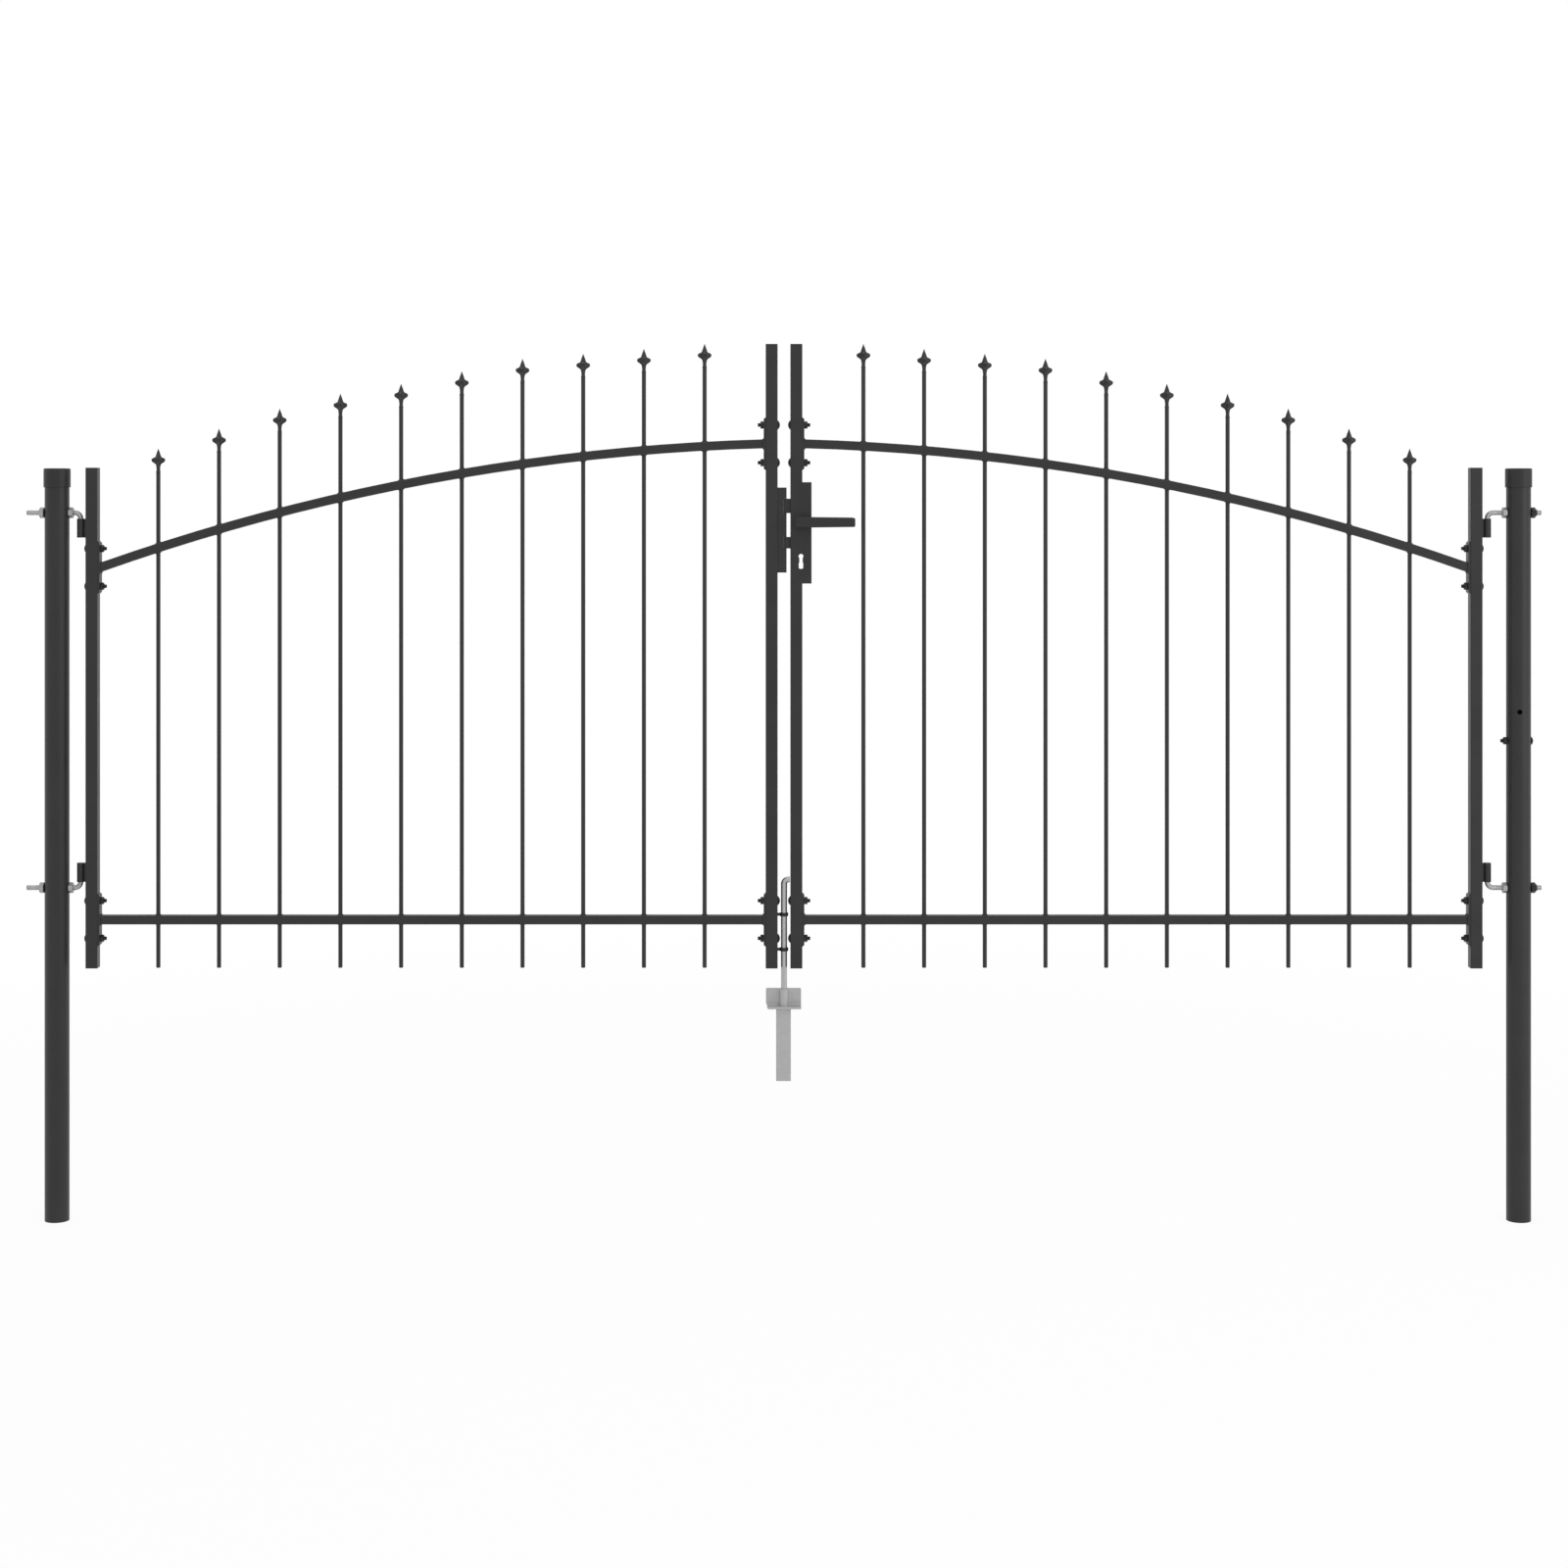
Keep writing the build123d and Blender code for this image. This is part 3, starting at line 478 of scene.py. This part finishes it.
# Weld beads: pickets in the rails, rails on their plates, barrels and keep on the stiles, spike under the stop
weld = {
    "picketRadius": 4.25,
    "picketBead": 1.5,
    "picketShare": 0.35,  # of the bead's radius, from the picket to the bead's middle
    "plateBead": 2.2,
    "barrelBead": 1.9,
    "keepBead": 1.2,
    "step": 2.6,
    "ripple": 0.14,
    "spacing": 0.65,
    "endShare": 0.35,
    "sectionPoints": 8,
    "cornerSteps": 4,
    "webHalf": 2.5,
    "barrelLength": 38.0,
    "barrelInset": 1.0,
    "barrelFeet": (1368.2, 678.1),
    "keepFront": 9.0,
    "keepStitches": ((1305.0, 1335.0), (1378.0, 1408.0), (1430.0, 1460.0)),
    "spikeBead": 1.8,
    "spikeMiddle": (1456.5, 0.0, 425.4),
    "spikeHalf": (14.8, 10.0),
    "spikeRounding": 2.0,
}


def straightPath(start, end):
    count = max(2, round((end - start).length / weld["spacing"]))
    return [start.lerp(end, i / count) for i in range(count + 1)]


def picketBeads(shape, side, u, z, slope):
    reach = weld["picketRadius"] + weld["picketBead"] * weld["picketShare"]
    count = round(2 * math.pi * reach / weld["spacing"])
    path = []
    for i in range(count):
        turn = 2 * math.pi * i / count
        out = reach * math.cos(turn)
        path.append(spot(side, u + out, reach * math.sin(turn), z + slope * out))
    up = Vector((-slope * sides[side], 0, 1)).normalized()
    addBead(shape, path, up, weld["picketBead"], True)


def roundedLoop(halfWidth, halfHeight, corner):
    # Closed path round a rounded rectangle, as pairs of numbers across and up
    path = []
    for quarter, (sa, sb) in enumerate(((1, 1), (-1, 1), (-1, -1), (1, -1))):
        for step in range(weld["cornerSteps"] + 1):
            turn = math.pi / 2 * (quarter + step / weld["cornerSteps"])
            path.append(Vector((sa * (halfWidth - corner) + corner * math.cos(turn),
                                sb * (halfHeight - corner) + corner * math.sin(turn), 0)))
    fine = []
    for a, b in zip(path, path[1:] + path[:1]):
        fine += straightPath(a, b)[:-1]
    return [(p.x, p.y) for p in fine]


def plateBead(shape, side, u, z, slope):
    # Round the rail's square end, where it meets the plate
    half = gate["rail"] / 2
    loop = roundedLoop(half, half * math.hypot(1, slope), gate["railRounding"])
    path = [spot(side, u, 0, z) + Vector((0, a, b)) for a, b in loop]
    addBead(shape, path, Vector((1, 0, 0)), weld["plateBead"], True)


for side in sides:
    beads = newShape()
    halfRail = gate["rail"] / 2
    for i in range(len(spear["riseShares"])):
        u = spear["first"] + spear["pitch"] * i
        slope = railSlope(u)
        for up in (-1, 1):
            picketBeads(beads, side, u, gate["bottomRail"] + up * halfRail, 0.0)
            picketBeads(beads, side, u, railHeight(u) + up * halfRail * math.hypot(1, slope), slope)
    for u, z in ((centrePlate, gate["railCentreEnd"]), (hingePlate, gate["railHingeEnd"])):
        plateBead(beads, side, u, gate["bottomRail"], 0.0)
        plateBead(beads, side, u, z, railSlope(u))
    for foot in weld["barrelFeet"]:
        for y in (-weld["webHalf"], weld["webHalf"]):
            start = spot(side, gate["outerFace"], y, foot + weld["barrelInset"])
            rise = Vector((0, 0, weld["barrelLength"] - 2 * weld["barrelInset"]))
            addBead(beads, straightPath(start, start + rise), Vector((0, 1, 0)), weld["barrelBead"], False)
    if side == "left":
        for low, high in weld["keepStitches"]:
            for y in (-weld["keepFront"], weld["keepFront"]):
                path = straightPath(spot(side, gate["innerFace"], y, low), spot(side, gate["innerFace"], y, high))
                addBead(beads, path, Vector((0, 1, 0)), weld["keepBead"], False)
    makePiece(side + "WeldBeads", beads, side + "_leaf", "powder_coat", sharp=60)
spikeBead = newShape()
spikeLoop = roundedLoop(*weld["spikeHalf"], weld["spikeRounding"])
addBead(spikeBead, [Vector(weld["spikeMiddle"]) + Vector((a, b, 0)) for a, b in spikeLoop],
        Vector((0, 0, 1)), weld["spikeBead"], True)
makePiece("spikeWeldBead", spikeBead, "posts", "galvanised_steel", sharp=60)
print("weld beads done")


# Hinge bolts: bent bar with a rolled thread on the straight leg
hingeBolt = {
    "radius": 5.0,
    "pitch": 1.5,
    "depth": 0.35,  # worn and filled with zinc
    "bend": 11.5,
    "end": 1517.4,  # u of the threaded end
    "chamfer": 1.2,
    "runOut": 0.3,
    "pinChamfer": 0.6,
    "bendSteps": 16,
    "heights": (1418.0, 666.3),
    "pinEnds": (1368.7, 715.6),
    "count": 24,
    "rowsPerTurn": 6,
    # u spans that show, outside the post and its nuts
    "threads": {"left": ((1424.0, 1426.2), (1490.5, 1517.4)), "right": ((1426.0, 1440.4), (1505.0, 1517.4))},
}


def threadRadius(radius, depth, pitch, place, end, chamfer):
    # Ridge height for a turn about the axis, run out to the chamfer at the bolt's end
    limit = radius - max(0.0, chamfer - abs(end - place))

    def radiusAt(turn):
        phase = (place / pitch - turn / (2 * math.pi)) % 1
        return min(limit, radius - depth * abs(2 * phase - 1))
    return radiusAt


def plainRadius(radius):
    return lambda turn: radius


def bentBolt(shape, side, z, pinEnd):
    look = hingeBolt
    outwards = Vector((sides[side], 0, 0))
    toPin = Vector((0, 0, 1 if pinEnd > z else -1))
    stations = []
    for low, high in reversed(look["threads"][side]):
        rows = round((high - low) / look["pitch"] * look["rowsPerTurn"])
        stations.append((spot(side, high, 0, z), -outwards, plainRadius(look["radius"] - look["depth"])))
        for i in range(rows, -1, -1):
            u = low + (high - low) * i / rows
            ridge = threadRadius(look["radius"], look["depth"], look["pitch"], u, look["end"], look["chamfer"])
            stations.append((spot(side, u, 0, z), -outwards, ridge))
        stations.append((spot(side, low - look["runOut"], 0, z), -outwards, plainRadius(look["radius"])))
    heart = spot(side, gate["pinAxis"] + look["bend"], 0, z) + toPin * look["bend"]
    for i in range(look["bendSteps"] + 1):
        turn = math.pi / 2 * i / look["bendSteps"]
        along = -outwards * math.cos(turn) + toPin * math.sin(turn)
        centre = heart - toPin * look["bend"] * math.cos(turn) - outwards * look["bend"] * math.sin(turn)
        stations.append((centre, along, plainRadius(look["radius"])))
    pin = Vector((heart.x - outwards.x * look["bend"], 0, pinEnd))
    stations.append((pin - toPin * look["pinChamfer"], toPin, plainRadius(look["radius"])))
    stations.append((pin, toPin, plainRadius(look["radius"] - look["pinChamfer"])))
    addRod(shape, stations, look["count"])


for side in sides:
    bolts = newShape()
    for z, pinEnd in zip(hingeBolt["heights"], hingeBolt["pinEnds"]):
        bentBolt(bolts, side, z, pinEnd)
    makePiece(side + "HingeBolts", bolts, "posts", "zinc_steel", [side + "_hinge_bolts"], sharp=40)
print("hinge bolts done")


# Dome-headed bolts through stiles and plates, with their thread ends
domeBolt = {
    "headRadius": 9.0,
    "headHeight": 4.8,
    "rim": 0.8,
    "crownPoint": 0.1,  # radius of the flat on top of the head
    "crownSteps": 10,
    "underRim": 0.2,
    "underInset": 0.3,
    "neck": 0.05,
    "radius": 4.0,
    "pitch": 1.25,
    "depth": 0.68,
    "grip": 34.5,  # seat to the outer face of the nut
    "stub": 5.5,
    "plainEnd": 0.6,  # thread starts this far inside the nut
    "runOut": 0.3,
    "chamfer": 1.2,
    "count": 28,
    "rowsPerTurn": 6,
    "postHeadRadius": 8.35,
    "postGrip": 55.1,
    "postOutside": 1497.1,
    "postHeight": 961.0,
}


def domedBolt(shape, seat, along, headRadius, grip):
    look = domeBolt
    crown = look["headHeight"] - look["rim"]
    ball = (headRadius ** 2 + crown ** 2) / (2 * crown)
    stations = []
    for i in range(look["crownSteps"] + 1):
        sink = crown * (i / look["crownSteps"]) ** 2
        reach = math.sqrt(max(ball ** 2 - (ball - sink) ** 2, look["crownPoint"] ** 2))
        stations.append((seat + along * (sink - look["headHeight"]), along, plainRadius(reach)))
    stations.append((seat - along * look["underRim"], along, plainRadius(headRadius)))
    stations.append((seat, along, plainRadius(headRadius - look["underInset"])))
    stations.append((seat + along * look["neck"], along, plainRadius(look["radius"])))
    stations.append((seat + along * (grip - look["plainEnd"]), along, plainRadius(look["radius"])))
    end = grip + look["stub"]
    rows = round(look["stub"] / look["pitch"] * look["rowsPerTurn"])
    for i in range(rows + 1):
        place = grip - look["runOut"] + (look["stub"] + look["runOut"]) * i / rows
        ridge = threadRadius(look["radius"], look["depth"], look["pitch"], place, end, look["chamfer"])
        stations.append((seat + along * place, along, ridge))
    addRod(shape, stations, look["count"])


for side in sides:
    bolts = newShape()
    halfSpacing = gate["boltSpacing"] / 2
    outwards = Vector((sides[side], 0, 0))
    for seatU, along, railEnd in ((gate["innerFace"], outwards, gate["railCentreEnd"]),
                                  (gate["outerFace"], -outwards, gate["railHingeEnd"])):
        for railZ in (gate["bottomRail"], railEnd):
            for z in (railZ - halfSpacing, railZ + halfSpacing):
                domedBolt(bolts, spot(side, seatU, 0, z), along, domeBolt["headRadius"], domeBolt["grip"])
    makePiece(side + "FrameBolts", bolts, side + "_leaf", "black_fastener", [side + "_frame_bolts"], sharp=40)
postBolt = newShape()
domedBolt(postBolt, spot("right", domeBolt["postOutside"], 0, domeBolt["postHeight"]), Vector((-1, 0, 0)),
          domeBolt["postHeadRadius"], domeBolt["postGrip"])
makePiece("rightPostBolt", postBolt, "posts", "black_fastener", ["right_post_bolt"], sharp=40)
print("dome-headed bolts done")


# Floor, world, lamps and camera
studio = {
    "white": "#ffffff",
    "floorColour": "#f4f4f4",
    "floorGlow": 0.9,
    "floorSize": 80.0,
    "fadeStart": 1.8,  # metres from the gate's middle over which the floor goes over to plain white
    "fadeEnd": 4.5,
    "worldAmbient": 0.82,
    "floorDrop": 0.3,  # millimetres under the posts' feet
    "heartHeight": 0.95,
    "keyPlace": (7.2, -4.2, 2.4),
    "keyPower": 92.0,
    "keySize": 4.5,
    "topPlace": (1.4575, -1.0, 5.5),
    "topPower": 40.0,
    "topSize": 4.0,
}


def seenRays(tree):
    path = addNode(tree, "ShaderNodeLightPath", {}, {})
    two = addNode(tree, "ShaderNodeMath", {"operation": "ADD"}, {
        0: path.outputs["Is Camera Ray"], 1: path.outputs["Is Glossy Ray"]})
    three = addNode(tree, "ShaderNodeMath", {"operation": "ADD", "use_clamp": True}, {
        0: two.outputs["Value"], 1: path.outputs["Is Transmission Ray"]})
    return three.outputs["Value"]


def paleFloor():
    material = bpy.data.materials.new("paleStudioFloor")
    material.use_nodes = True
    tree = material.node_tree
    tree.nodes.clear()
    matt = addNode(tree, "ShaderNodeBsdfDiffuse", {}, {"Color": linear(studio["floorColour"])})
    glow = addNode(tree, "ShaderNodeEmission", {}, {"Color": linear(studio["white"]), "Strength": 1.0})
    place = addNode(tree, "ShaderNodeTexCoord", {}, {}).outputs["Object"]
    reach = addNode(tree, "ShaderNodeVectorMath", {"operation": "LENGTH"}, {0: place})
    white = addNode(tree, "ShaderNodeMapRange", {"interpolation_type": "SMOOTHSTEP"}, {
        "Value": reach.outputs["Value"], "From Min": studio["fadeStart"], "From Max": studio["fadeEnd"],
        "To Min": studio["floorGlow"], "To Max": 1.0})
    share = addNode(tree, "ShaderNodeMath", {"operation": "MULTIPLY"}, {
        0: seenRays(tree), 1: white.outputs["Result"]})
    both = addNode(tree, "ShaderNodeMixShader", {}, {
        0: share.outputs["Value"], 1: matt.outputs["BSDF"], 2: glow.outputs["Emission"]})
    addNode(tree, "ShaderNodeOutputMaterial", {}, {"Surface": both.outputs["Shader"]})
    mesh = bpy.data.meshes.new("floor")
    half = studio["floorSize"] / 2
    mesh.from_pydata([(-half, -half, 0), (half, -half, 0), (half, half, 0), (-half, half, 0)], [], [(0, 1, 2, 3)])
    mesh.materials.append(material)
    floor = bpy.data.objects.new("floor", mesh)
    floor.location = (gate["middle"] * mm, 0, -studio["floorDrop"] * mm)
    scene.collection.objects.link(floor)


def whiteWorld():
    world = bpy.data.worlds.new("whiteStudio")
    world.use_nodes = True
    tree = world.node_tree
    tree.nodes.clear()
    seen = addNode(tree, "ShaderNodeBackground", {}, {"Color": linear(studio["white"]), "Strength": 1.0})
    ambient = addNode(tree, "ShaderNodeBackground", {}, {
        "Color": linear(studio["white"]), "Strength": studio["worldAmbient"]})
    both = addNode(tree, "ShaderNodeMixShader", {}, {
        0: seenRays(tree), 1: ambient.outputs["Background"], 2: seen.outputs["Background"]})
    addNode(tree, "ShaderNodeOutputWorld", {}, {"Surface": both.outputs["Shader"]})
    scene.world = world


def softBox(name, place, target, size, power):
    lamp = bpy.data.lights.new(name, "AREA")
    lamp.size = size
    lamp.energy = power
    lampObject = bpy.data.objects.new(name, lamp)
    lampObject.location = place
    lampObject.rotation_euler = (Vector(target) - Vector(place)).to_track_quat("-Z", "Y").to_euler()
    scene.collection.objects.link(lampObject)


paleFloor()
whiteWorld()
gateHeart = (gate["middle"] * mm, 0.0, studio["heartHeight"])
softBox("keyLamp", studio["keyPlace"], gateHeart, studio["keySize"], studio["keyPower"])
softBox("topLamp", studio["topPlace"], gateHeart, studio["topSize"], studio["topPower"])

view = {
    "lens": 63.55,
    "sensor": 36.0,
    "shift": -0.18125,  # the photo's horizon is 290 of 1600 pixels above its middle
    "distance": 5.55,
    "height": 1.444,
}
camera = bpy.data.cameras.new("photoCamera")
camera.lens = view["lens"]
camera.sensor_width = view["sensor"]
camera.shift_y = view["shift"]
cameraObject = bpy.data.objects.new("photoCamera", camera)
cameraObject.location = (gate["middle"] * mm, -view["distance"], view["height"])
cameraObject.rotation_euler = (math.pi / 2, 0, 0)
scene.collection.objects.link(cameraObject)
scene.camera = cameraObject
print("studio done")
